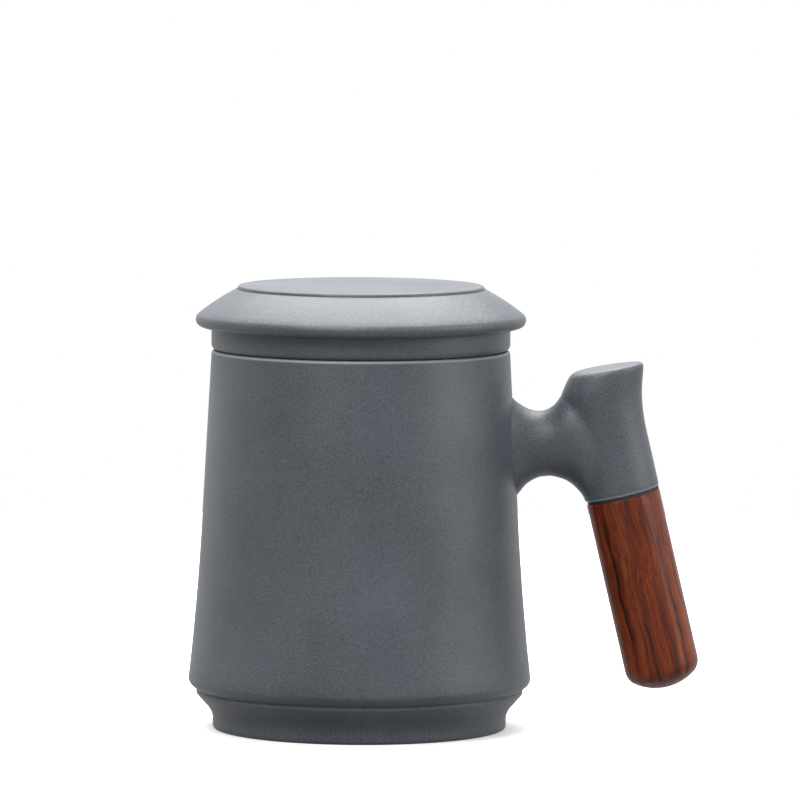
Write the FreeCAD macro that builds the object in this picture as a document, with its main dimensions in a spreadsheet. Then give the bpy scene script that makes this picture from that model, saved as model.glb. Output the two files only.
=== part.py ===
import FreeCAD, Part
import math
import os
import Sketcher

# Lidded tea mug with a lift-out infuser. Millimetres, +Z up.
# The origin is the centre of the foot ring on the table. The handle points along +X.

Vector = FreeCAD.Vector
Rotation = FreeCAD.Rotation
Placement = FreeCAD.Placement

# Driving sizes: alias, value and what it measures.
SIZES = [
    ("mug_height", 101.9, "table to the top of the mug rim"),
    ("rim_radius", 40.0, "outside of the rim"),
    ("rim_rounding", 1.0, "edges of the rim"),
    ("wall", 3.8, "wall at and above the flare"),
    ("flare_top", 58.0, "height where the straight wall ends and the flare starts"),
    ("flare_top_radius", 42.35, "outside of the wall at that height"),
    ("flare_curve", 750.0, "radius of the long hollow sweep of the lower wall"),
    ("base_radius", 46.0, "widest outside of the mug"),
    ("base_height", 13.6, "height of the widest place"),
    ("base_rounding", 2.5, "rounding under the widest place"),
    ("base_wall", 5.0, "wall at the bottom of the cavity"),
    ("crease_radius", 43.9, "outside where the under-cut shoulder meets the base"),
    ("crease_drop", 2.9, "widest place down to the upper lip of the crease line"),
    ("crease_size", 0.4, "radius of the crease line"),
    ("shoulder_lip", 0.8, "crease line down to the corner of the shoulder"),
    ("shoulder_rounding", 1.2, "rounding of the shoulder under the crease"),
    ("foot_radius", 39.4, "outside of the foot ring"),
    ("foot_width", 4.8, "radial width of the foot ring"),
    ("foot_rounding", 0.9, "edges of the foot ring"),
    ("foot_straight", 2.2, "straight height of the foot before its cove"),
    ("cove_radius", 6.0, "hollow curve from the foot to the shoulder"),
    ("recess_height", 3.0, "hollow inside the foot ring"),
    ("floor_top", 10.0, "height of the drinking floor"),
    ("floor_rounding", 9.0, "curve from the cavity wall to the floor"),
    ("joint_across", 70.5, "X of the centre of the handle joint"),
    ("joint_height", 63.5, "Z of the centre of the handle joint"),
    ("handle_tilt", 13.2, "lean of the handle post, degrees from upright"),
    ("boss_radius", 10.15, "horn of the handle at the joint"),
    ("boss_straight", 14.0, "length of the horn that stays round and straight"),
    ("boss_bend_along", 24.0, "place of the section where the horn starts to lean"),
    ("boss_bend_across", 0.55, "its lean"),
    ("boss_bend_radius", 10.45, "its radius"),
    ("boss_swell_along", 30.0, "place of the fullest section"),
    ("boss_swell_across", 1.9, "its lean"),
    ("boss_swell_radius", 10.6, "its radius"),
    ("boss_length", 34.0, "joint to the top face of the horn"),
    ("boss_top_across", 3.6, "lean of the top face"),
    ("boss_top_radius", 9.8, "radius of the top face"),
    ("boss_top_tilt", 3.9, "turn of the top face, degrees"),
    ("boss_top_rounding", 1.3, "edge of the top face"),
    ("boss_joint_rounding", 0.5, "edge of the joint face"),
    ("neck_root", 1.838269, "how deep the neck reaches into the wall"),
    ("neck_waist", 0.4152098, "where the neck is thinnest, as a share of its length"),
    ("neck_rise", 13.4, "joint up to the middle of the thinnest place"),
    ("neck_half_tall", 8.85, "half height there"),
    ("neck_half_deep", 7.2, "half depth there"),
    ("neck_spread_up", 3.3, "how far the top line climbs at the wall"),
    ("neck_spread_down", 7.2, "how far the bottom line drops at the wall"),
    ("neck_spread_deep", 1.7, "how far each side grows at the wall"),
    ("neck_boss_spread", 2.0, "how far each line grows inside the horn"),
    ("neck_boss_rounding", 5.0, "hollow where the neck meets the horn"),
    ("neck_wall_rounding", 1.2, "hollow where the neck meets the wall"),
    ("collar_radius", 40.1, "outside of the infuser collar"),
    ("collar_height", 6.7, "rim of the mug to the lid seat"),
    ("collar_rounding", 1.7, "lower outer edge of the collar"),
    ("collar_top_rounding", 0.8, "upper edges of the collar"),
    ("basket_gap", 1.8, "clearance between the basket and the mug mouth"),
    ("basket_wall", 3.0, "wall of the basket"),
    ("basket_depth", 71.0, "mug rim to the underside of the basket"),
    ("basket_taper", 2.6, "how much smaller the basket is at its bottom, in radius"),
    ("basket_rounding", 8.0, "outer curve from the basket wall to its bottom"),
    ("basket_floor", 3.0, "thickness of the basket bottom"),
    ("seat_fillet", 1.2, "curve between the basket and the underside of the collar"),
    ("hole_radius", 1.1, "strainer holes"),
    ("hole_ring_pitch", 7.6, "spacing of the rings of holes in the bottom"),
    ("hole_row_pitch", 7.5, "spacing of the rows of holes in the side"),
    ("hole_row_first", 12.5, "basket underside to the lowest row"),
    ("side_holes", 20, "holes in each row"),
    ("lid_radius", 44.15, "outside of the lid brim"),
    ("lid_drop", 0.45, "how far the lip hangs below the seat"),
    ("lid_nose", 1.9, "rounding of the brim"),
    ("lid_lip_width", 2.9, "brim edge to the inside of the lip"),
    ("lid_shoulder", 2.9, "lid seat to the start of the cone"),
    ("lid_cone_top", 9.65, "lid seat to the top of the cone"),
    ("lid_cone_curve", 65.0, "radius of the slightly full cone"),
    ("lid_height", 10.6, "lid seat to the flat top"),
    ("lid_top_radius", 33.0, "outside of the raised top"),
    ("lid_top_rounding", 1.0, "edge of the raised top"),
    ("lid_crease", 0.3, "depth of the line round the raised top"),
    ("lid_thickness", 4.6, "thickness of the top"),
    ("skirt_gap", 0.8, "clearance between the skirt and the basket mouth"),
    ("skirt_wall", 3.0, "thickness of the locating skirt"),
    ("skirt_depth", 8.0, "how far the skirt reaches below the seat"),
    ("skirt_rounding", 1.0, "edges of the skirt"),
    ("grip_radius", 10.1, "wooden grip"),
    ("grip_length", 52.7, "length of the grip along its middle"),
    ("grip_dome", 14.0, "radius of the domed end"),
    ("grip_edge", 4.5, "rounding between the side and the dome"),
    ("grip_top_rounding", 0.4, "edge at the joint"),
    ("washer_thickness", 0.8, "cushion washer between the horn and the grip"),
    ("washer_inset", 0.35, "how far the washer stands back from the grip side"),
    ("thread_radius", 2.5, "M5 stud"),
    ("stud_bevel", 0.6, "bevel on the ends of the stud"),
    ("sleeve_radius", 4.0, "outside of both threaded sleeves"),
    ("glue_gap", 0.1, "glue film round the sleeve in the horn"),
    ("anchor_length", 14.0, "sleeve in the horn"),
    ("insert_length", 12.0, "sleeve in the grip"),
    ("flange_radius", 6.0, "flange of the sleeve in the grip"),
    ("flange_thickness", 1.2, "thickness of that flange"),
    ("thread_end", 2.0, "closed end of each threaded hole"),
    ("sleeve_groove", 0.5, "depth of the holding grooves round the sleeves"),
    ("groove_width", 1.4, "width of the holding grooves"),
]

RING_HOLES = (6, 12)
SIDE_ROWS = 3

doc = FreeCAD.newDocument("tea_mug")


def make_sheet():
    """Writes every driving size to one sheet, with its alias and its meaning."""
    sheet = doc.addObject("Spreadsheet::Sheet", "Sizes")
    for row, (alias, value, meaning) in enumerate(SIZES, start=1):
        sheet.set("A%d" % row, alias)
        sheet.set("B%d" % row, str(value))
        sheet.setAlias("B%d" % row, alias)
        sheet.set("C%d" % row, meaning)
    doc.recompute()
    return sheet


SHEET = make_sheet()
NAMES = sorted((alias for alias, value, meaning in SIZES), key=len, reverse=True)


def bound(formula):
    """Turns a formula of aliases into one that names the sheet before each alias."""
    words = []
    word = ""
    for letter in formula + " ":
        if letter.isalnum() or letter == "_":
            word += letter
            continue
        words.append("Sizes." + word if word in NAMES else word)
        words.append(letter)
        word = ""
    return "".join(words).strip()


def number(formula):
    """Value of a formula now, as the start of what the sheet keeps up to date."""
    return float(SHEET.evalExpression(bound(formula)))


def new_body(label):
    """Empty body with its own label."""
    body = doc.addObject("PartDesign::Body", label)
    body.Label = label
    return body


def origin_plane(body, role):
    """Origin plane of a body, such as XZ_Plane."""
    return next(feature for feature in body.Origin.OriginFeatures if feature.Role == role)


def new_sketch(body, name, role):
    """Empty sketch on one of its own body's origin planes."""
    sketch = body.newObject("Sketcher::SketchObject", name)
    sketch.AttachmentSupport = [(origin_plane(body, role), "")]
    sketch.MapMode = "FlatFace"
    return sketch


def add_dimension(sketch, constraint, formula):
    """Adds a driving dimension and ties it to the sheet."""
    index = sketch.addConstraint(constraint)
    sketch.setExpression("Constraints[%d]" % index, bound(formula))


def pin_point(sketch, geometry, end, across, up):
    """Holds one point of a sketch at two formulas; zero means on the sketch axis."""
    if across == "0":
        sketch.addConstraint(Sketcher.Constraint("PointOnObject", geometry, end, -2))
    else:
        distance = Sketcher.Constraint("DistanceX", -1, 1, geometry, end, number(across))
        add_dimension(sketch, distance, across)
    if up == "0":
        sketch.addConstraint(Sketcher.Constraint("PointOnObject", geometry, end, -1))
    else:
        distance = Sketcher.Constraint("DistanceY", -1, 1, geometry, end, number(up))
        add_dimension(sketch, distance, up)


def corner(across, up, rounding=None, curve=None, hollow=False):
    """One corner of an outline.

    rounding is the radius of a curve between the straight runs on both sides. curve is the
    radius of the run to the next corner, and hollow makes that run bend inwards.
    """
    return {"across": across, "up": up, "rounding": rounding, "curve": curve, "hollow": hollow}


def arc_between(start, end, radius, hollow):
    """Arc of a circle from start to end, and which of its ends is which.

    The outline runs anticlockwise, so a full curve has its centre on the left of the run.
    """
    chord = end - start
    left = Vector(-chord.y, chord.x, 0).normalize()
    height = math.sqrt(radius ** 2 - (chord.Length / 2) ** 2)
    side = -1 if hollow else 1
    centre = start + chord * 0.5 + left * (side * height)
    first, last = (end, start) if hollow else (start, end)
    first_angle = math.atan2(first.y - centre.y, first.x - centre.x)
    last_angle = math.atan2(last.y - centre.y, last.x - centre.x)
    circle = Part.Circle(centre, Vector(0, 0, 1), radius)
    arc = Part.ArcOfCircle(circle, first_angle, last_angle)
    return (arc, 2, 1) if hollow else (arc, 1, 2)


def draw_outline(sketch, corners):
    """Closed outline of straight and round runs, each corner tied to the sheet."""
    points = [Vector(number(c["across"]), number(c["up"]), 0) for c in corners]
    count = len(corners)
    starts = list(points)
    ends = [points[(i + 1) % count] for i in range(count)]
    for i, item in enumerate(corners):
        if item["rounding"]:
            before = (points[i - 1] - points[i]).normalize()
            after = (points[(i + 1) % count] - points[i]).normalize()
            half = before.getAngle(after) / 2
            reach = number(item["rounding"]) / math.tan(half)
            ends[i - 1] = points[i] + before * reach
            starts[i] = points[i] + after * reach
    runs = []
    for i, item in enumerate(corners):
        if item["curve"]:
            radius = number(item["curve"])
            arc, first, last = arc_between(starts[i], ends[i], radius, item["hollow"])
            index = sketch.addGeometry(arc, False)
            add_dimension(sketch, Sketcher.Constraint("Radius", index, radius), item["curve"])
        else:
            index = sketch.addGeometry(Part.LineSegment(starts[i], ends[i]), False)
            first, last = 1, 2
        runs.append((index, first, last))
    for i, item in enumerate(corners):
        index, first, last = runs[i]
        before_index, before_first, before_last = runs[i - 1]
        if not item["rounding"]:
            meet = Sketcher.Constraint("Coincident", before_index, before_last, index, first)
            sketch.addConstraint(meet)
            pin_point(sketch, index, first, item["across"], item["up"])
            continue
        radius = number(item["rounding"])
        turn = (points[i] - points[i - 1]).cross(points[(i + 1) % count] - points[i]).z
        bends_in = turn < 0
        arc, arc_first, arc_last = arc_between(ends[i - 1], starts[i], radius, bends_in)
        arc_index = sketch.addGeometry(arc, False)
        tip = sketch.addGeometry(Part.Point(points[i]), True)
        pin_point(sketch, tip, 1, item["across"], item["up"])
        sketch.addConstraint(Sketcher.Constraint("PointOnObject", tip, 1, before_index))
        sketch.addConstraint(Sketcher.Constraint("PointOnObject", tip, 1, index))
        into = Sketcher.Constraint("Tangent", before_index, before_last, arc_index, arc_first)
        sketch.addConstraint(into)
        out = Sketcher.Constraint("Tangent", arc_index, arc_last, index, first)
        sketch.addConstraint(out)
        size = Sketcher.Constraint("Radius", arc_index, radius)
        add_dimension(sketch, size, item["rounding"])


def turn_profile(body, name, corners):
    """Turns a closed outline, radius across and height up, round the Z axis."""
    sketch = new_sketch(body, name + "_profile", "XZ_Plane")
    draw_outline(sketch, corners)
    turned = body.newObject("PartDesign::Revolution", name)
    turned.Profile = sketch
    turned.ReferenceAxis = (sketch, ["V_Axis"])
    turned.Angle = 360.0
    sketch.Visibility = False
    doc.recompute()
    return turned


def draw_circle(sketch, across, up, radius):
    """Circle tied to the sheet."""
    centre = Vector(number(across), number(up), 0)
    circle = Part.Circle(centre, Vector(0, 0, 1), number(radius))
    index = sketch.addGeometry(circle, False)
    pin_point(sketch, index, 3, across, up)
    add_dimension(sketch, Sketcher.Constraint("Radius", index, number(radius)), radius)


def draw_ellipse(sketch, up, half_wide, half_tall):
    """Upright ellipse centred above the sketch origin, tied to the sheet."""
    middle = Vector(0, number(up), 0)
    tall = Vector(0, number(half_tall), 0)
    wide = Vector(-number(half_wide), 0, 0)
    index = sketch.addGeometry(Part.Ellipse(middle + tall, middle + wide, middle), False)
    sketch.exposeInternalGeometry(index)
    major = index + 1
    minor = index + 2
    pin_point(sketch, index, 3, "0", up)
    sketch.addConstraint(Sketcher.Constraint("Vertical", major))
    length = "2 * (%s)" % half_tall
    add_dimension(sketch, Sketcher.Constraint("Distance", major, number(length)), length)
    width = "2 * (%s)" % half_wide
    add_dimension(sketch, Sketcher.Constraint("Distance", minor, number(width)), width)


def place_sketch(sketch, base, axis=None, angle=None):
    """Moves a sketch from its plane by formulas, and turns it about one axis."""
    turn = Rotation(axis, number(angle)) if axis else Rotation()
    sketch.AttachmentOffset = Placement(Vector(*[number(value) for value in base]), turn)
    for letter, value in zip("xyz", base):
        sketch.setExpression("AttachmentOffset.Base." + letter, bound(value))
    if axis:
        sketch.setExpression("AttachmentOffset.Rotation.Angle", bound(angle))


def place_body(body, base, tilt=None):
    """Puts a body at formulas, leaning in the plane of the handle."""
    turn = Rotation(Vector(0, 1, 0), number(tilt)) if tilt else Rotation()
    body.Placement = Placement(Vector(*[number(value) for value in base]), turn)
    for letter, value in zip("xyz", base):
        body.setExpression("Placement.Base." + letter, bound(value))
    if tilt:
        body.setExpression("Placement.Rotation.Angle", bound(tilt))


def handle_point(along, across):
    """X and Z formulas of a place in the horn, along and across its leaning axis."""
    x = "joint_across - (%s) * sin(handle_tilt) + (%s) * cos(handle_tilt)" % (along, across)
    z = "joint_height + (%s) * cos(handle_tilt) + (%s) * sin(handle_tilt)" % (along, across)
    return x, z


def loft_through(body, name, sections):
    """Smooth solid through a row of section sketches."""
    loft = body.newObject("PartDesign::AdditiveLoft", name)
    loft.Profile = sections[0]
    loft.Sections = sections[1:]
    for section in sections:
        section.Visibility = False
    doc.recompute()
    return loft


def fillet_edges(body, name, base, edges, radius):
    """Rounds the named edges of a feature."""
    if not edges:
        raise RuntimeError("no edge found for " + name)
    fillet = body.newObject("PartDesign::Fillet", name)
    fillet.Base = (base, edges)
    fillet.Radius = number(radius)
    fillet.setExpression("Radius", bound(radius))
    doc.recompute()
    return fillet


def on_skin(feature, reach=0.02):
    """Test of a point for lying on the faces that a feature adds."""
    skin = Part.Compound(feature.AddSubShape.Faces)
    skin.Placement = feature.Placement
    return lambda point: Part.Vertex(point).distToShape(skin)[0] < reach


def on_plane(sketch, reach=0.01):
    """Test of a point for lying in the plane of a sketch."""
    back = sketch.Placement.inverse()
    return lambda point: abs(back.multVec(point).z) < reach


def edges_where(shape, test):
    """Names of the edges whose sampled points all pass a test."""
    found = []
    for index, edge in enumerate(shape.Edges, start=1):
        samples = edge.discretize(9)
        if all(test(point) for point in samples):
            found.append("Edge%d" % index)
    return found


def mug_outline():
    """Corners of the mug: foot, cove, shoulder, crease, flare, wall, rim and cavity."""
    slope = "cos(45)"
    cove_out = "foot_radius + cove_radius * (1 - %s)" % slope
    cove_up = "foot_straight + cove_radius * %s" % slope
    crease_top = "base_height - crease_drop"
    crease_low = crease_top + " - 2 * crease_size"
    under_out = "base_radius - base_rounding * (1 - %s)" % slope
    under_up = "base_height - base_rounding * %s" % slope
    foot_inside = "foot_radius - foot_width"
    return [
        corner(foot_inside, "0", rounding="foot_rounding"),
        corner("foot_radius", "0", rounding="foot_rounding"),
        corner("foot_radius", "foot_straight", curve="cove_radius", hollow=True),
        corner(cove_out, cove_up),
        corner("crease_radius", crease_low + " - shoulder_lip", rounding="shoulder_rounding"),
        corner("crease_radius", crease_low, curve="crease_size * 1.001", hollow=True),
        corner("crease_radius", crease_top),
        corner(under_out, under_up, curve="base_rounding"),
        corner("base_radius", "base_height", curve="flare_curve", hollow=True),
        corner("flare_top_radius", "flare_top"),
        corner("rim_radius", "mug_height", rounding="rim_rounding"),
        corner("rim_radius - wall", "mug_height", rounding="rim_rounding"),
        corner("flare_top_radius - wall", "flare_top"),
        corner("base_radius - base_wall", "floor_top", rounding="floor_rounding"),
        corner("0", "floor_top"),
        corner("0", "recess_height"),
        corner(foot_inside, "recess_height"),
    ]


def add_horn(body):
    """Leaning horn of the handle, from the joint face to its tilted top face."""
    stations = [
        ("0", "0", "boss_radius", "handle_tilt"),
        ("boss_straight", "0", "boss_radius", "handle_tilt"),
        ("boss_bend_along", "boss_bend_across", "boss_bend_radius", "handle_tilt"),
        ("boss_swell_along", "boss_swell_across", "boss_swell_radius", "handle_tilt"),
        ("boss_length", "boss_top_across", "boss_top_radius", "handle_tilt - boss_top_tilt"),
    ]
    sections = []
    for index, (along, across, radius, lean) in enumerate(stations):
        sketch = new_sketch(body, "horn_section_%d" % index, "XY_Plane")
        x, z = handle_point(along, across)
        place_sketch(sketch, (x, "0", z), Vector(0, 1, 0), "-(%s)" % lean)
        draw_circle(sketch, "0", "0", radius)
        sections.append(sketch)
    return loft_through(body, "horn", sections), sections


def add_neck(body):
    """Neck of upright oval sections, from inside the mug wall to inside the horn."""
    middle = "(joint_height + neck_rise)"
    climb = "((%s - flare_top) / (mug_height - flare_top))" % middle
    wall_out = "(flare_top_radius + (rim_radius - flare_top_radius) * %s)" % climb
    root = "(%s - neck_root)" % wall_out
    end = "(joint_across - boss_radius * 0.8)"
    waist = "(%s + (%s - %s) * neck_waist)" % (root, end, root)
    wall_run = "(%s - %s)" % (waist, root)
    horn_run = "(%s - %s)" % (end, waist)
    sections = []
    for index, share in enumerate((1.0, 0.75, 0.45, 0.0, -0.5, -1.0)):
        square = share ** 2
        if share >= 0:
            x = "%s - %s * %s" % (waist, share, wall_run)
            grow_up = "neck_spread_up * 1.4 * %s" % square
            grow_down = "neck_spread_down * 1.4 * %s" % square
            grow_deep = "neck_spread_deep * %s" % square
        else:
            x = "%s + %s * %s" % (waist, -share, horn_run)
            grow_up = "neck_boss_spread * %s" % square
            grow_down = grow_up
            grow_deep = "0"
        up = "%s + (%s - %s) / 2" % (middle, grow_up, grow_down)
        half_tall = "neck_half_tall + (%s + %s) / 2" % (grow_up, grow_down)
        sketch = new_sketch(body, "neck_section_%d" % index, "YZ_Plane")
        place_sketch(sketch, ("0", "0", x))
        draw_ellipse(sketch, up, "neck_half_deep + " + grow_deep, half_tall)
        sections.append(sketch)
    return loft_through(body, "neck", sections)


def make_mug():
    """Fired mug in one piece: cup, foot, neck and horn, with a blind socket for the grip."""
    body = new_body("mug_body")
    cup = turn_profile(body, "cup", mug_outline())
    horn, horn_sections = add_horn(body)
    neck = add_neck(body)
    on_cup = on_skin(cup)
    on_horn = on_skin(horn)
    on_neck = on_skin(neck)
    seam = edges_where(neck.Shape, lambda point: on_horn(point) and on_neck(point))
    blend = fillet_edges(body, "horn_blend", neck, seam, "neck_boss_rounding")
    seam = edges_where(blend.Shape, lambda point: on_cup(point) and on_neck(point))
    root = fillet_edges(body, "wall_blend", blend, seam, "neck_wall_rounding")
    on_top = on_plane(horn_sections[-1])
    edge = edges_where(root.Shape, lambda point: on_top(point) and on_horn(point))
    top = fillet_edges(body, "top_edge", root, edge, "boss_top_rounding")
    on_joint = on_plane(horn_sections[0])
    edge = edges_where(top.Shape, lambda point: on_joint(point) and on_horn(point))
    joint = fillet_edges(body, "joint_edge", top, edge, "boss_joint_rounding")
    socket = new_sketch(body, "socket_section", "XY_Plane")
    place_sketch(socket, ("joint_across", "0", "joint_height"), Vector(0, 1, 0), "-handle_tilt")
    draw_circle(socket, "0", "0", "sleeve_radius + glue_gap")
    drill(body, "socket", socket, "anchor_length")
    return body


def drill(body, name, sketch, depth=None):
    """Round pocket; a depth is cut along the sketch normal, and none goes right through."""
    before = body.Shape.Volume
    pocket = body.newObject("PartDesign::Pocket", name)
    pocket.Profile = sketch
    if depth:
        pocket.Type = "Length"
        pocket.Length = number(depth)
        pocket.setExpression("Length", bound(depth))
        pocket.Reversed = True
    else:
        pocket.Type = "ThroughAll"
    sketch.Visibility = False
    doc.recompute()
    if not body.Shape.Volume < before - 0.1:
        raise RuntimeError(name + " cuts nothing")
    return pocket


def ring_of(body, name, pocket, axis, count):
    """Repeats a pocket all round an axis of its own sketch."""
    pattern = body.newObject("PartDesign::PolarPattern", name)
    pattern.Originals = [pocket]
    pattern.Axis = (pocket.Profile[0], [axis])
    pattern.Angle = 360.0
    if isinstance(count, str):
        pattern.Occurrences = int(number(count))
        pattern.setExpression("Occurrences", bound(count))
    else:
        pattern.Occurrences = count
    body.Tip = pattern
    doc.recompute()
    return pattern


def infuser_outline():
    """Corners of the infuser, measured from the mug rim that its collar rests on."""
    outside = "rim_radius - wall - basket_gap"
    inside = outside + " - basket_wall"
    bottom_outside = outside + " - basket_taper"
    bottom_inside = inside + " - basket_taper"
    inner_rounding = "basket_rounding - basket_floor"
    return [
        corner("0", "-basket_depth"),
        corner(bottom_outside, "-basket_depth", rounding="basket_rounding"),
        corner(outside, "0", rounding="seat_fillet"),
        corner("collar_radius", "0", rounding="collar_rounding"),
        corner("collar_radius", "collar_height", rounding="collar_top_rounding"),
        corner(inside, "collar_height", rounding="collar_top_rounding"),
        corner(bottom_inside, "basket_floor - basket_depth", rounding=inner_rounding),
        corner("0", "basket_floor - basket_depth"),
    ]


def make_infuser():
    """Ceramic basket with a collar that sits on the mug rim, and its strainer holes."""
    body = new_body("infuser")
    turn_profile(body, "basket", infuser_outline())
    middle = new_sketch(body, "middle_hole", "XY_Plane")
    draw_circle(middle, "0", "0", "hole_radius")
    drill(body, "middle_drain", middle)
    for ring, count in enumerate(RING_HOLES, start=1):
        sketch = new_sketch(body, "ring_hole_%d" % ring, "XY_Plane")
        draw_circle(sketch, "hole_ring_pitch * %d" % ring, "0", "hole_radius")
        pocket = drill(body, "ring_drain_%d" % ring, sketch)
        ring_of(body, "ring_drains_%d" % ring, pocket, "N_Axis", count)
    for row in range(SIDE_ROWS):
        sketch = new_sketch(body, "side_hole_%d" % row, "XZ_Plane")
        if row % 2:
            place_sketch(sketch, ("0", "0", "0"), Vector(0, 1, 0), "180 / side_holes")
        up = "hole_row_first + hole_row_pitch * %d - basket_depth" % row
        draw_circle(sketch, "0", up, "hole_radius")
        pocket = drill(body, "side_drain_%d" % row, sketch)
        ring_of(body, "side_drains_%d" % row, pocket, "V_Axis", "side_holes")
    place_body(body, ("0", "0", "mug_height"))
    return body


def lid_outline():
    """Corners of the lid, measured from the collar top that it rests on."""
    skirt_outside = "rim_radius - wall - basket_gap - basket_wall - skirt_gap"
    skirt_inside = skirt_outside + " - skirt_wall"
    lip = "lid_radius - lid_lip_width"
    crease_out = "lid_top_radius + 2 * lid_crease"
    ceiling = "lid_height - lid_thickness"
    return [
        corner("0", ceiling),
        corner(skirt_inside, ceiling, rounding="skirt_rounding"),
        corner(skirt_inside, "-skirt_depth", rounding="skirt_rounding"),
        corner(skirt_outside, "-skirt_depth", rounding="skirt_rounding"),
        corner(skirt_outside, "0"),
        corner(lip, "0"),
        corner("lid_radius - lid_nose", "-lid_drop", curve="lid_nose * 1.02"),
        corner("lid_radius - lid_nose * 0.24", "lid_shoulder", curve="lid_cone_curve"),
        corner(crease_out, "lid_cone_top"),
        corner("lid_top_radius", "lid_cone_top - lid_crease"),
        corner("lid_top_radius", "lid_height", rounding="lid_top_rounding"),
        corner("0", "lid_height"),
    ]


def make_lid():
    """Ceramic lid with a raised round top and a skirt that drops into the basket."""
    body = new_body("lid")
    turn_profile(body, "lid_turned", lid_outline())
    place_body(body, ("0", "0", "mug_height + collar_height"))
    return body


def make_turned(label, corners):
    """Small turned piece on the leaning axis of the handle joint."""
    body = new_body(label)
    turn_profile(body, label + "_turned", corners)
    place_body(body, ("joint_across", "0", "joint_height"), "-handle_tilt")
    return body


def grip_outline():
    """Corners of the wooden grip, hanging below the washer, with its blind bore."""
    top = "-washer_thickness"
    end = "-washer_thickness - grip_length"
    inner = "grip_dome - grip_edge"
    reach = "grip_radius - grip_edge"
    dome_centre = "%s + grip_dome" % end
    edge_up = "%s - sqrt(pow(%s; 2) - pow(%s; 2))" % (dome_centre, inner, reach)
    meet_out = "(%s) * grip_dome / (%s)" % (reach, inner)
    meet_up = "%s - sqrt(pow(grip_dome; 2) - pow(%s; 2))" % (dome_centre, meet_out)
    seat = "-washer_thickness - flange_thickness"
    bore_end = "-washer_thickness - insert_length"
    return [
        corner("0", end, curve="grip_dome"),
        corner(meet_out, meet_up, curve="grip_edge"),
        corner("grip_radius", edge_up),
        corner("grip_radius", top, rounding="grip_top_rounding"),
        corner("flange_radius", top),
        corner("flange_radius", seat),
        corner("sleeve_radius", seat),
        corner("sleeve_radius", bore_end),
        corner("0", bore_end),
    ]


def washer_outline():
    """Corners of the flat washer between the horn and the grip."""
    outside = "grip_radius - washer_inset"
    return [
        corner("thread_radius", "-washer_thickness"),
        corner(outside, "-washer_thickness"),
        corner(outside, "0"),
        corner("thread_radius", "0"),
    ]


def stud_outline():
    """Corners of the stud that joins the two threaded sleeves."""
    top = "anchor_length - thread_end"
    low = "thread_end - washer_thickness - insert_length"
    neck = "thread_radius - stud_bevel"
    return [
        corner("0", low),
        corner(neck, low),
        corner("thread_radius", low + " + stud_bevel"),
        corner("thread_radius", top + " - stud_bevel"),
        corner(neck, top),
        corner("0", top),
    ]


def sleeve_grooves(start, step):
    """Corners of two holding grooves round a sleeve, from start in equal steps upwards."""
    low = "sleeve_radius - sleeve_groove"
    corners = []
    for groove in (0, 1):
        foot = "%s + %s * %s" % (start, step, groove)
        corners.append(corner("sleeve_radius", foot))
        corners.append(corner(low, foot))
        corners.append(corner(low, foot + " + groove_width"))
        corners.append(corner("sleeve_radius", foot + " + groove_width"))
    return corners


def anchor_outline():
    """Corners of the threaded sleeve that is glued into the horn, open at the joint."""
    inner_end = "anchor_length - thread_end"
    corners = [corner("thread_radius", "0"), corner("sleeve_radius", "0")]
    corners += sleeve_grooves("anchor_length * 0.3", "anchor_length * 0.3")
    corners.append(corner("sleeve_radius", "anchor_length"))
    corners.append(corner("0", "anchor_length"))
    corners.append(corner("0", inner_end))
    corners.append(corner("thread_radius", inner_end))
    return corners


def insert_outline():
    """Corners of the flanged sleeve that is screwed into the grip, open at the joint."""
    top = "-washer_thickness"
    end = "-washer_thickness - insert_length"
    seat = "-washer_thickness - flange_thickness"
    inner_end = end + " + thread_end"
    return [
        corner("0", end),
        corner("sleeve_radius", end),
        corner("sleeve_radius", seat),
        corner("flange_radius", seat),
        corner("flange_radius", top),
        corner("thread_radius", top),
        corner("thread_radius", inner_end),
        corner("0", inner_end),
    ]


def check_features():
    """Stops when any feature of the model has failed."""
    for feature in doc.Objects:
        if "Invalid" in feature.State or "Error" in feature.State:
            raise RuntimeError("%s failed: %s" % (feature.Label, feature.State))


def export_parts(bodies):
    """Checks each piece and writes it to its own file."""
    for body in bodies:
        shape = body.Shape
        if shape.isNull() or not shape.isValid() or len(shape.Solids) != 1:
            raise RuntimeError(body.Label + " is not one valid solid")
    os.makedirs("parts", exist_ok=True)
    for body in bodies:
        body.Shape.exportStep("parts/%s.step" % body.Label)
        box = body.Shape.BoundBox
        print("%-14s %9.1f mm3  Z %6.1f to %6.1f" % (
            body.Label, body.Shape.Volume, box.ZMin, box.ZMax))


bodies = [
    make_mug(),
    make_infuser(),
    make_lid(),
    make_turned("grip", grip_outline()),
    make_turned("grip_washer", washer_outline()),
    make_turned("grip_stud", stud_outline()),
    make_turned("boss_anchor", anchor_outline()),
    make_turned("grip_insert", insert_outline()),
]
doc.recompute()
check_features()
export_parts(bodies)
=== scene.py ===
"""Lidded tea mug with a lift-out infuser, dressed for a plain white studio."""

import logging
import math
from dataclasses import dataclass, field
from enum import Enum
from typing import Sequence

import bmesh
import bpy
from bpy.types import Material, Mesh, Node, NodeSocket, NodeTree, Object
from mathutils import Matrix, Vector


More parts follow.
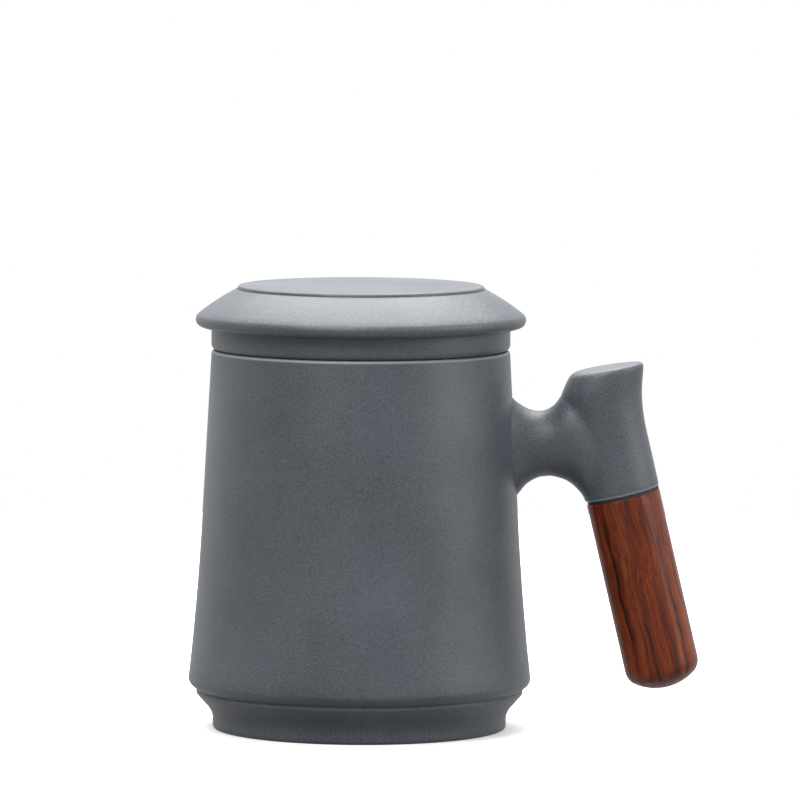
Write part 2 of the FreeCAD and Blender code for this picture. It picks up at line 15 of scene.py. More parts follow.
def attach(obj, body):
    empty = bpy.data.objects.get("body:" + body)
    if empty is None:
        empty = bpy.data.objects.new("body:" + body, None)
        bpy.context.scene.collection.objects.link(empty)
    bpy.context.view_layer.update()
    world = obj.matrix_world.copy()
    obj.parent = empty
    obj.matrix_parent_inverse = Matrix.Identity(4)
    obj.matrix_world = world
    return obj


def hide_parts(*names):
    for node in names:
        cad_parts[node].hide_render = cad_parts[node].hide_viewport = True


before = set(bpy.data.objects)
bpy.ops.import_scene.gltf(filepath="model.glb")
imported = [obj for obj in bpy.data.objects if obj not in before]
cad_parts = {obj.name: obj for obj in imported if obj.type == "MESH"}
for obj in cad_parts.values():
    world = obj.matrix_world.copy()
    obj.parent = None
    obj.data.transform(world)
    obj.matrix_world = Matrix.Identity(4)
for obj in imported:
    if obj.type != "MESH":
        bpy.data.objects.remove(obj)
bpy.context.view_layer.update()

LOG = logging.getLogger("tea_mug")
MM = 0.001
WELD_REACH = 0.002 * MM
# A wave texture turns by this many radians per unit at a scale of 1.
WAVE_RATE = 20


def srgb(code: str) -> tuple[float, float, float, float]:
    """Turns an sRGB hex colour into a linear one.

    Args:
        code: Six hex digits after a hash sign.

    Returns:
        Linear red, green, blue and an alpha of 1.
    """
    def linear(value: float) -> float:
        """One channel from sRGB to linear."""
        return value / 12.92 if value <= 0.04045 else ((value + 0.055) / 1.055) ** 2.4

    red, green, blue = (int(code[i:i + 2], 16) / 255 for i in (1, 3, 5))
    return linear(red), linear(green), linear(blue), 1.0


def add(tree: NodeTree, kind: str, settings: dict | None = None,
        inputs: dict | None = None) -> Node:
    """Adds one node, with its settings, its constants and its links.

    Args:
        tree: Node tree to add to.
        kind: Blender's name for the node type.
        settings: Attributes of the node, such as its operation.
        inputs: For each input, by name or number, a constant or the socket that feeds it.

    Returns:
        The new node.
    """
    node = tree.nodes.new(kind)
    for name, value in (settings or {}).items():
        setattr(node, name, value)
    for name, value in (inputs or {}).items():
        socket = node.inputs[name]
        if isinstance(value, NodeSocket):
            tree.links.new(value, socket)
        else:
            socket.default_value = value
    return node


def new_material(name: str) -> tuple[Material, NodeTree, Node]:
    """Makes an empty node material.

    Args:
        name: Name of the material.

    Returns:
        The material, its tree and its output node.
    """
    material = bpy.data.materials.new(name)
    material.use_nodes = True
    tree = material.node_tree
    tree.nodes.clear()
    return material, tree, add(tree, "ShaderNodeOutputMaterial")


def ramp(tree: NodeTree, factor: NodeSocket,
         stops: Sequence[tuple[float, tuple]]) -> NodeSocket:
    """Adds a colour ramp.

    Args:
        tree: Node tree to add to.
        factor: Socket that drives the ramp.
        stops: Place and colour of each stop.

    Returns:
        The ramp's colour socket.
    """
    node = add(tree, "ShaderNodeValToRGB", inputs={"Fac": factor})
    band = node.color_ramp
    band.elements[0].position, band.elements[0].color = stops[0]
    band.elements[1].position, band.elements[1].color = stops[-1]
    for place, colour in stops[1:-1]:
        band.elements.new(place).color = colour
    return node.outputs["Color"]


def grey(value: float) -> tuple[float, float, float, float]:
    """Linear grey of one value."""
    return value, value, value, 1.0


@dataclass(frozen=True)
class GlazeBreakAndHighlightLine:
    """Thin paler line along an edge, where a glaze runs off the edge and breaks to a paler tone;
    along the rim it is also a painted highlight.

    The line is the plane along . place = at, with a soft edge of width on both sides.
    """

    along: tuple[float, float, float]
    at: float
    width: float


@dataclass(frozen=True)
class SandGlaze:
    """Stoneware under a sprayed, reduction-fired satin-matt glaze.

    The glaze crystallises into a fine sandy grain, so highlights are broad and speckled,
    and it thins to a paler blue-grey on sharp edges. The pale line along the rim is also
    a painted highlight.
    """

    name: str
    light: str = "#5b6168"
    dark: str = "#383e45"
    # Paler tone of thin glaze on edges. Along the rim it is also a painted highlight.
    edge: str = "#a9b3bb"
    grain: float = 0.4 * MM
    pitting: float = 0.9 * MM
    drift: float = 26 * MM
    grain_share: float = 0.7
    drift_share: float = 0.3
    dark_end: float = 0.38
    light_end: float = 0.62
    pit_share: float = 1.1
    grain_height: float = 0.07 * MM
    roughness: float = 0.42
    smoother: float = 0.06
    rougher: float = 0.1
    ior: float = 1.5
    # Share of the pale edge tone: thin glaze, and a painted highlight along the rim.
    break_and_highlight_share: float = 0.75
    breaks_and_highlights: tuple[GlazeBreakAndHighlightLine, ...] = ()

    def make(self) -> Material:
        """Builds the material.

        Returns:
            The finished material.
        """
        material, tree, output = new_material(self.name)
        place = add(tree, "ShaderNodeTexCoord").outputs["Object"]
        grain = add(tree, "ShaderNodeTexNoise", inputs={
            "Vector": place, "Scale": 1 / self.grain, "Detail": 3.0, "Roughness": 0.65})
        pits = add(tree, "ShaderNodeTexNoise", inputs={
            "Vector": place, "Scale": 1 / self.pitting, "Detail": 3.0, "Roughness": 0.55})
        drift = add(tree, "ShaderNodeTexNoise", inputs={
            "Vector": place, "Scale": 1 / self.drift, "Detail": 2.0})
        speckle = add(tree, "ShaderNodeMath", {"operation": "MULTIPLY"}, {
            0: grain.outputs["Fac"], 1: self.grain_share})
        tone = add(tree, "ShaderNodeMath", {"operation": "MULTIPLY_ADD"}, {
            0: drift.outputs["Fac"], 1: self.drift_share, 2: speckle.outputs[0]})
        colour = ramp(tree, tone.outputs[0], [
            (self.dark_end, srgb(self.dark)), (self.light_end, srgb(self.light))])
        colour = self.pale_break_and_highlight_lines(tree, place, colour)
        height = add(tree, "ShaderNodeMath", {"operation": "MULTIPLY_ADD"}, {
            0: pits.outputs["Fac"], 1: self.pit_share, 2: grain.outputs["Fac"]})
        bump = add(tree, "ShaderNodeBump", inputs={
            "Height": height.outputs[0], "Strength": 1.0, "Distance": self.grain_height})
        rough = add(tree, "ShaderNodeMapRange", inputs={
            "Value": grain.outputs["Fac"], "From Min": 0.3, "From Max": 0.7,
            "To Min": self.roughness - self.smoother, "To Max": self.roughness + self.rougher})
        surface = add(tree, "ShaderNodeBsdfPrincipled", inputs={
            "Base Color": colour, "Roughness": rough.outputs[0], "IOR": self.ior,
            "Normal": bump.outputs["Normal"]})
        tree.links.new(surface.outputs["BSDF"], output.inputs["Surface"])
        return material

    def pale_break_and_highlight_lines(self, tree: NodeTree, place: NodeSocket,
                   colour: NodeSocket) -> NodeSocket:
        """Mixes the thin-glaze tone in along each line. Along the rim this also paints a
        highlight.

        Args:
            tree: Node tree to add to.
            place: Socket with the place on the piece, in metres.
            colour: Socket with the glaze's colour so far.

        Returns:
            Socket with the colour after all lines.
        """
        for line in self.breaks_and_highlights:
            along = add(tree, "ShaderNodeVectorMath", {"operation": "DOT_PRODUCT"}, {
                0: place, 1: line.along})
            off = add(tree, "ShaderNodeMath", {"operation": "SUBTRACT"}, {
                0: along.outputs["Value"], 1: line.at})
            away = add(tree, "ShaderNodeMath", {"operation": "ABSOLUTE"}, {0: off.outputs[0]})
            share = add(tree, "ShaderNodeMapRange", {"interpolation_type": "SMOOTHSTEP"}, {
                "Value": away.outputs[0], "From Min": 0.0, "From Max": line.width,
                "To Min": self.break_and_highlight_share, "To Max": 0.0})
            # Mixes in the pale line: thin glaze, and along the rim a painted highlight.
            mix = add(tree, "ShaderNodeMix", {"data_type": "RGBA"}, {
                "Factor": share.outputs[0], 6: colour, 7: srgb(self.edge)})
            colour = mix.outputs[2]
        return colour


@dataclass(frozen=True)
class BareStoneware:
    """Bare fired clay of the foot ring, wiped clean of glaze and ground flat."""

    name: str = "bare_stoneware"
    light: str = "#8f8478"
    dark: str = "#6f655b"
    grit: float = 0.5 * MM
    grit_height: float = 0.05 * MM
    roughness: float = 0.9

    def make(self) -> Material:
        """Builds the material.

        Returns:
            The finished material.
        """
        material, tree, output = new_material(self.name)
        place = add(tree, "ShaderNodeTexCoord").outputs["Object"]
        grit = add(tree, "ShaderNodeTexNoise", inputs={
            "Vector": place, "Scale": 1 / self.grit, "Detail": 4.0})
        colour = ramp(tree, grit.outputs["Fac"], [
            (0.35, srgb(self.dark)), (0.65, srgb(self.light))])
        bump = add(tree, "ShaderNodeBump", inputs={
            "Height": grit.outputs["Fac"], "Distance": self.grit_height})
        surface = add(tree, "ShaderNodeBsdfPrincipled", inputs={
            "Base Color": colour, "Roughness": self.roughness, "Normal": bump.outputs["Normal"]})
        tree.links.new(surface.outputs["BSDF"], output.inputs["Surface"])
        return material


@dataclass(frozen=True)
class OiledRosewood:
    """Rosewood, turned along its grain, sanded fine and oiled.

    Dark brown-black streaks run the length of the red-brown wood, short open pores break
    the surface, and the oil leaves a satin sheen.
    """

    tilt: float
    joint: Vector
    name: str = "oiled_rosewood"
    black: str = "#1c0b06"
    dark: str = "#431a0b"
    red: str = "#6b280f"
    light: str = "#8c431a"
    streak: float = 2.2 * MM
    fibre: float = 0.24 * MM
    pore: float = 0.24 * MM
    pore_spacing: float = 3.0
    stretch: float = 0.04
    wander: float = 16 * MM
    wander_depth: float = 4 * MM
    fibre_share: float = 0.34
    pore_darkness: float = 0.55
    pore_height: float = 0.03 * MM
    roughness: float = 0.38
    ior: float = 1.33

    def make(self) -> Material:
        """Builds the material.

        Returns:
            The finished material.
        """
        material, tree, output = new_material(self.name)
        place = add(tree, "ShaderNodeTexCoord").outputs["Object"]
        moved = add(tree, "ShaderNodeVectorMath", {"operation": "SUBTRACT"}, {
            0: place, 1: tuple(self.joint)})
        along = add(tree, "ShaderNodeMapping", inputs={
            "Vector": moved.outputs[0], "Rotation": (0.0, math.radians(self.tilt), 0.0)})
        warp = add(tree, "ShaderNodeTexNoise", inputs={
            "Vector": along.outputs[0], "Scale": 1 / self.wander, "Detail": 1.5})
        bend = add(tree, "ShaderNodeVectorMath", {"operation": "MULTIPLY_ADD"}, {
            0: warp.outputs["Color"], 1: (self.wander_depth, self.wander_depth, 0.0),
            2: along.outputs[0]})
        long = add(tree, "ShaderNodeVectorMath", {"operation": "MULTIPLY"}, {
            0: bend.outputs[0], 1: (1.0, 1.0, self.stretch)})
        streaks = add(tree, "ShaderNodeTexNoise", inputs={
            "Vector": long.outputs[0], "Scale": 1 / self.streak, "Detail": 5.0,
            "Roughness": 0.66, "Distortion": 0.25})
        fibres = add(tree, "ShaderNodeTexNoise", inputs={
            "Vector": long.outputs[0], "Scale": 1 / self.fibre, "Detail": 3.0,
            "Roughness": 0.6})
        pores = add(tree, "ShaderNodeTexVoronoi", inputs={
            "Vector": long.outputs[0], "Scale": 1 / (self.pore * self.pore_spacing),
            "Randomness": 1.0})
        tone = add(tree, "ShaderNodeMath", {"operation": "MULTIPLY_ADD"}, {
            0: fibres.outputs["Fac"], 1: self.fibre_share, 2: streaks.outputs["Fac"]})
        colour = ramp(tree, tone.outputs[0], [
            (0.5, srgb(self.black)), (0.585, srgb(self.dark)), (0.68, srgb(self.red)),
            (0.85, srgb(self.light))])
        open_pore = add(tree, "ShaderNodeMapRange", inputs={
            "Value": pores.outputs["Distance"], "From Min": 0.1, "From Max": 0.26,
            "To Min": self.pore_darkness, "To Max": 0.0})
        colour = add(tree, "ShaderNodeMix", {"data_type": "RGBA"}, {
            "Factor": open_pore.outputs[0], 6: colour, 7: srgb(self.black)}).outputs[2]
        height = add(tree, "ShaderNodeMath", {"operation": "MULTIPLY_ADD"}, {
            0: open_pore.outputs[0], 1: -1.0, 2: fibres.outputs["Fac"]})
        bump = add(tree, "ShaderNodeBump", inputs={
            "Height": height.outputs[0], "Strength": 0.6, "Distance": self.pore_height})
        rough = add(tree, "ShaderNodeMapRange", inputs={
            "Value": streaks.outputs["Fac"], "From Min": 0.35, "From Max": 0.65,
            "To Min": self.roughness + 0.08, "To Max": self.roughness - 0.04})
        surface = add(tree, "ShaderNodeBsdfPrincipled", inputs={
            "Base Color": colour, "Roughness": rough.outputs[0], "IOR": self.ior,
            "Normal": bump.outputs["Normal"]})
        tree.links.new(surface.outputs["BSDF"], output.inputs["Surface"])
        return material


@dataclass(frozen=True)
class MouldedRubber:
    """Black silicone rubber, pressed in a blasted mould, so it is dull with a faint tooth."""

    name: str = "moulded_rubber"
    light: str = "#1d1e20"
    dark: str = "#121314"
    tooth: float = 0.3 * MM
    tooth_height: float = 0.02 * MM
    roughness: float = 0.7

    def make(self) -> Material:
        """Builds the material.

        Returns:
            The finished material.
        """
        material, tree, output = new_material(self.name)
        place = add(tree, "ShaderNodeTexCoord").outputs["Object"]
        tooth = add(tree, "ShaderNodeTexNoise", inputs={
            "Vector": place, "Scale": 1 / self.tooth, "Detail": 2.0})
        colour = ramp(tree, tooth.outputs["Fac"], [
            (0.4, srgb(self.dark)), (0.6, srgb(self.light))])
        bump = add(tree, "ShaderNodeBump", inputs={
            "Height": tooth.outputs["Fac"], "Distance": self.tooth_height})
        surface = add(tree, "ShaderNodeBsdfPrincipled", inputs={
            "Base Color": colour, "Roughness": self.roughness, "Normal": bump.outputs["Normal"]})
        tree.links.new(surface.outputs["BSDF"], output.inputs["Surface"])
        return material


class Metal(Enum):
    """Metals of the hidden joint hardware: name, light tone, dark tone."""

    BRASS = ("turned_brass", "#d9b26a", "#b98d45")
    STEEL = ("rolled_stainless_steel", "#b4b6b8", "#8d9093")


@dataclass(frozen=True)
class TurnedMetal:
    """Metal turned on a lathe, with fine tool rings round its axis."""

    metal: Metal
    pitch: float = 0.5 * MM
    ring_height: float = 0.02 * MM
    stain: float = 4 * MM
    roughness: float = 0.3

    def make(self) -> Material:
        """Builds the material.

        Returns:
            The finished material.
        """
        name, light, dark = self.metal.value
        material, tree, output = new_material(name)
        place = add(tree, "ShaderNodeTexCoord").outputs["Object"]
        stain = add(tree, "ShaderNodeTexNoise", inputs={
            "Vector": place, "Scale": 1 / self.stain, "Detail": 3.0})
        rings = add(tree, "ShaderNodeTexWave", {"bands_direction": "Z"}, {
            "Vector": place, "Scale": 1 / self.pitch / WAVE_RATE * math.tau})
        colour = ramp(tree, stain.outputs["Fac"], [(0.3, srgb(dark)), (0.7, srgb(light))])
        bump = add(tree, "ShaderNodeBump", inputs={
            "Height": rings.outputs["Fac"], "Strength": 0.4, "Distance": self.ring_height})
        surface = add(tree, "ShaderNodeBsdfPrincipled", inputs={
            "Base Color": colour, "Metallic": 1.0, "Roughness": self.roughness,
            "Normal": bump.outputs["Normal"]})
        tree.links.new(surface.outputs["BSDF"], output.inputs["Surface"])
        return material


@dataclass(frozen=True)
class Turn:
    """One corner of a turned outline, in millimetres.

    rounding is the radius of the curve that takes the corner off.
    """

    out: float
    up: float
    rounding: float = 0.0


def rounded(corners: Sequence[Turn], step: float = 0.22) -> list[Vector]:
    """Samples a closed outline with its corners rounded.

    Args:
        corners: Corners of the outline, in order.
        step: Turn between samples of a rounding, in radians.

    Returns:
        Points of the outline: radius, 0, height.
    """
    points: list[Vector] = []
    for index, turn in enumerate(corners):
        here = Vector((turn.out, 0, turn.up))
        if not turn.rounding:
            points.append(here)
            continue
        before = corners[index - 1]
        after = corners[(index + 1) % len(corners)]
        back = (Vector((before.out, 0, before.up)) - here).normalized()
        ahead = (Vector((after.out, 0, after.up)) - here).normalized()
        half = back.angle(ahead) / 2
        reach = turn.rounding / math.tan(half)
        centre = here + (back + ahead).normalized() * (turn.rounding / math.sin(half))
        start = here + back * reach - centre
        end = here + ahead * reach - centre
        count = max(2, math.ceil(start.angle(end) / step))
        for i in range(count + 1):
            share = i / count
            points.append(centre + start.slerp(end, share) * turn.rounding)
    return points


def curve_to(start: Turn, end: Turn, radius: float, hollow: bool, count: int) -> list[Turn]:
    """Samples an arc from one place to another, without its two ends.

    Args:
        start: First end, in an outline that runs anticlockwise.
        end: Last end.
        radius: Radius of the arc.
        hollow: True if the arc bends into the piece.
        count: Number of points between the ends.

    Returns:
        The points between the ends.
    """
    first = Vector((start.out, start.up))
    last = Vector((end.out, end.up))
    chord = last - first
    left = Vector((-chord.y, chord.x)).normalized()
    height = math.sqrt(max(radius ** 2 - (chord.length / 2) ** 2, 0.0))
    centre = (first + last) / 2 + left * (-height if hollow else height)
    spoke = first - centre
    sweep = 2 * math.asin(min(1.0, chord.length / 2 / radius)) * (-1 if hollow else 1)
    turns = []
    for i in range(1, count + 1):
        angle = sweep * i / (count + 1)
        turned = Matrix.Rotation(angle, 2) @ spoke + centre
        turns.append(Turn(turned.x, turned.y))
    return turns


def smooth_object(name: str, mesh: Mesh, angle: float = 35.0) -> Object:
    """Links a mesh as an object with smooth faces and sharp creases.

    Args:
        name: Name of the piece.
        mesh: Its mesh, in metres.
        angle: Turn between faces above which an edge stays sharp, in degrees.

    Returns:
        The new object.
    """
    mesh.shade_smooth()
    piece = bpy.data.objects.new(name, mesh)
    bpy.context.scene.collection.objects.link(piece)
    mesh.set_sharp_from_angle(angle=math.radians(angle))
    return piece


def link_mesh(name: str, bm: bmesh.types.BMesh) -> Object:
    """Turns a finished bmesh into an object of the scene.

    Args:
        name: Name of the object.
        bm: Mesh under construction. It is freed here.

    Returns:
        The new object.
    """
    mesh = bpy.data.meshes.new(name)
    bm.to_mesh(mesh)
    bm.free()
    made = bpy.data.objects.new(name, mesh)
    bpy.context.scene.collection.objects.link(made)
    return made


def bake(piece: Object) -> None:
    """Turns a piece and its modifiers into one plain mesh."""
    graph = bpy.context.evaluated_depsgraph_get()
    old = piece.data
    piece.data = bpy.data.meshes.new_from_object(piece.evaluated_get(graph))
    piece.modifiers.clear()
    bpy.data.meshes.remove(old)


def cut_out(piece: Object, tool: Object) -> None:
    """Cuts a tool out of a piece, after the modifiers it has, and removes the tool.

    Args:
        piece: The piece. It ends as one plain mesh.
        tool: Closed solid of what is cut away.
    """
    cut = piece.modifiers.new("cut", "BOOLEAN")
    cut.operation = "DIFFERENCE"
    cut.solver = "EXACT"
    cut.object = tool
    bake(piece)
    mesh = tool.data
    bpy.data.objects.remove(tool)
    bpy.data.meshes.remove(mesh)


def lathe(name: str, outline: Sequence[Vector], segments: int = 256,
          place: Matrix | None = None) -> Object:
    """Turns a closed outline round the Z axis.

    Args:
        name: Name of the piece.
        outline: Points of the outline: radius, 0, height, in millimetres.
        segments: Number of steps round the axis.
        place: Where the turned piece goes.

    Returns:
        The turned piece.
    """
    kept = [p for i, p in enumerate(outline) if (p - outline[i - 1]).length > 1e-4]
    bm = bmesh.new()
    rings: list[list[bmesh.types.BMVert]] = []
    for point in kept:
        if abs(point.x) < 1e-6:
            rings.append([bm.verts.new((0, 0, point.z * MM))])
            continue
        ring = []
        for i in range(segments):
            angle = math.tau * i / segments
            ring.append(bm.verts.new((
                point.x * math.cos(angle) * MM, point.x * math.sin(angle) * MM, point.z * MM)))
        rings.append(ring)
    for index, ring in enumerate(rings):
        following = rings[(index + 1) % len(rings)]
        if len(ring) == 1 and len(following) == 1:
            continue
        for i in range(segments):
            j = (i + 1) % segments
            corners = [ring[i % len(ring)], ring[j % len(ring)],
                       following[j % len(following)], following[i % len(following)]]
            unique = list(dict.fromkeys(corners))
            bm.faces.new(unique)
    bmesh.ops.recalc_face_normals(bm, faces=bm.faces)
    mesh = bpy.data.meshes.new(name)
    bm.to_mesh(mesh)
    bm.free()
    if place is not None:
        mesh.transform(place)
    return smooth_object(name, mesh)


def welded_mesh(node: str) -> Mesh:
    """Copies a node's own surface and joins its split edges.

    Args:
        node: Node whose surface it takes.

    Returns:
        The new mesh.
    """
    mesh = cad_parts[node].data.copy()
    bm = bmesh.new()
    bm.from_mesh(mesh)
    bmesh.ops.remove_doubles(bm, verts=bm.verts, dist=WELD_REACH)
    bmesh.ops.recalc_face_normals(bm, faces=bm.faces)
    bm.to_mesh(mesh)
    bm.free()
    mesh.materials.clear()
    return mesh


def finish_piece(piece: Object, body: str, slot: str,
                 materials: Sequence[Material], *nodes: str) -> None:
    """Gives a piece its material and its body, and hides the nodes that it stands for.

    Args:
        piece: The piece.
        body: Body that it rides on.
        slot: Not used.
        materials: Its materials, in order.
        nodes: Nodes that it replaces.
    """
    piece.data.materials.clear()
    for material in materials:
        piece.data.materials.append(material)
    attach(piece, body)
    if nodes:
        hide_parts(*nodes)
    LOG.info("%s: %d faces on body %s", piece.name, len(piece.data.polygons), body)


@dataclass
class Mug:
    """Fired mug: a turned cup with its foot ring, and the neck and horn of the handle.

    Sizes are in millimetres.
    """

    rim_height: float = 101.9
    rim_radius: float = 40.0
    rim_rounding: float = 1.0
    wall: float = 3.8
    flare_top: float = 58.0
    flare_top_radius: float = 42.35
    flare_curve: float = 750.0
    base_radius: float = 45.98
    base_height: float = 13.6
    base_rounding: float = 2.5
    base_wall: float = 5.0
    crease_radius: float = 43.9
    crease_drop: float = 2.9
    crease_size: float = 0.22
    crease_edge: float = 0.08
    crease_root: float = 0.1
    shoulder_lip: float = 0.75
    foot_radius: float = 39.4
    foot_width: float = 4.8
    foot_rounding: float = 0.9
    foot_straight: float = 2.2
    cove_radius: float = 6.0
    recess_height: float = 3.0
    recess_rounding: float = 1.0
    floor_top: float = 10.0
    floor_rounding: float = 9.0
    # Place and width of the pale line along the rim: a painted highlight, with the glaze thinning
    # there.
    rim_highlight_line_drop: float = 0.35
    rim_highlight_line_width: float = 0.55
    horn_line_rise: float = 0.25
    horn_line_width: float = 0.6
    tilt: float = 13.2
    joint: Vector = field(default_factory=lambda: Vector((70.5, 0.0, 63.5)))

    def build(self, glaze: Material, handle_glaze: Material,
              bare: Material) -> None:
        """Builds the mug and leaves its foot ring bare.

        Args:
            glaze: Material of the cup.
            handle_glaze: Material of the neck and the horn.
            bare: Material of the ground foot ring.
        """
        cup = lathe("cup", rounded(self.outline()))
        finish_piece(cup, "mug", "mug_glaze", (glaze, bare), "mug_body")
        for face in cup.data.polygons:
            if face.center.z < 0.05 * MM and face.normal.z < -0.9:
                face.material_index = 1
        lean = Matrix.Rotation(-math.radians(self.tilt), 4, "Y")
        handle = Handle(Matrix.Translation(self.joint * MM) @ lean).build()
        finish_piece(handle, "mug", "mug_glaze", (handle_glaze,), "mug_body")

    def outline(self) -> list[Turn]:
        """Lists the corners of the cup, from the foot round the outside to the cavity."""
        slope = math.cos(math.radians(45))
        foot_inside = self.foot_radius - self.foot_width
        foot_top = Turn(self.foot_radius, self.foot_straight)
        cove_end = Turn(self.foot_radius + self.cove_radius * (1 - slope),
                        self.foot_straight + self.cove_radius * slope)
        lip = self.base_height - self.crease_drop
        crease_low = lip - 2 * self.crease_size
        under = Turn(self.base_radius - self.base_rounding * (1 - slope),
                     self.base_height - self.base_rounding * slope)
        widest = Turn(self.base_radius, self.base_height)
        flare_end = Turn(self.flare_top_radius, self.flare_top)
        return [
            Turn(0, self.recess_height),
            Turn(foot_inside, self.recess_height, self.recess_rounding),
            Turn(foot_inside, 0, self.foot_rounding),
            Turn(self.foot_radius, 0, self.foot_rounding),
            foot_top,
            *curve_to(foot_top, cove_end, self.cove_radius, hollow=True, count=6),
            cove_end,
            Turn(self.crease_radius, crease_low - self.shoulder_lip, self.shoulder_lip * 0.8),
            Turn(self.crease_radius, crease_low, self.crease_edge),
            Turn(self.crease_radius - self.crease_size, crease_low + self.crease_size,
                 self.crease_root),
            Turn(self.crease_radius, lip, self.crease_edge),
            under,
            *curve_to(under, widest, self.base_rounding, hollow=False, count=5),
            widest,
            *curve_to(widest, flare_end, self.flare_curve, hollow=True, count=12),
            flare_end,
            Turn(self.rim_radius, self.rim_height, self.rim_rounding),
            Turn(self.rim_radius - self.wall, self.rim_height, self.rim_rounding),
            Turn(self.flare_top_radius - self.wall, self.flare_top),
            Turn(self.base_radius - self.base_wall, self.floor_top, self.floor_rounding),
            Turn(0, self.floor_top),
        ]


@dataclass(frozen=True)
class Oval:
    """One oval section of the handle, in millimetres.

    For the horn, at is the distance from the joint along its axis and middle the offset
    across it. For the neck, at is X and middle is Z.
    """

    at: float
    middle: float
    half: float
    half_deep: float
    lean: float = 0.0


def blend(sections: Sequence[Oval], at: float) -> Oval:
    """Finds the section at a place by a smooth curve through the given ones.

    Args:
        sections: Given sections, in order.
        at: Place of the wanted section.

    Returns:
        The section at that place.
    """
    last = len(sections) - 2
    index = next((i for i in range(last) if at <= sections[i + 1].at), last)
    near = [sections[max(0, min(len(sections) - 1, index + k))] for k in (-1, 0, 1, 2)]
    share = (at - near[1].at) / (near[2].at - near[1].at)

    def value(name: str) -> float:
        """One size of the section, on a cubic curve with natural slopes."""
        v0, v1, v2, v3 = (getattr(oval, name) for oval in near)
        span = near[2].at - near[1].at
        slope_1 = (v2 - v0) / max(near[2].at - near[0].at, 1e-6) * span
        slope_2 = (v3 - v1) / max(near[3].at - near[1].at, 1e-6) * span
        s2, s3 = share ** 2, share ** 3
        return ((2 * s3 - 3 * s2 + 1) * v1 + (s3 - 2 * s2 + share) * slope_1
                + (3 * s2 - 2 * s3) * v2 + (s3 - s2) * slope_2)

    return Oval(at, *(value(name) for name in ("middle", "half", "half_deep", "lean")))


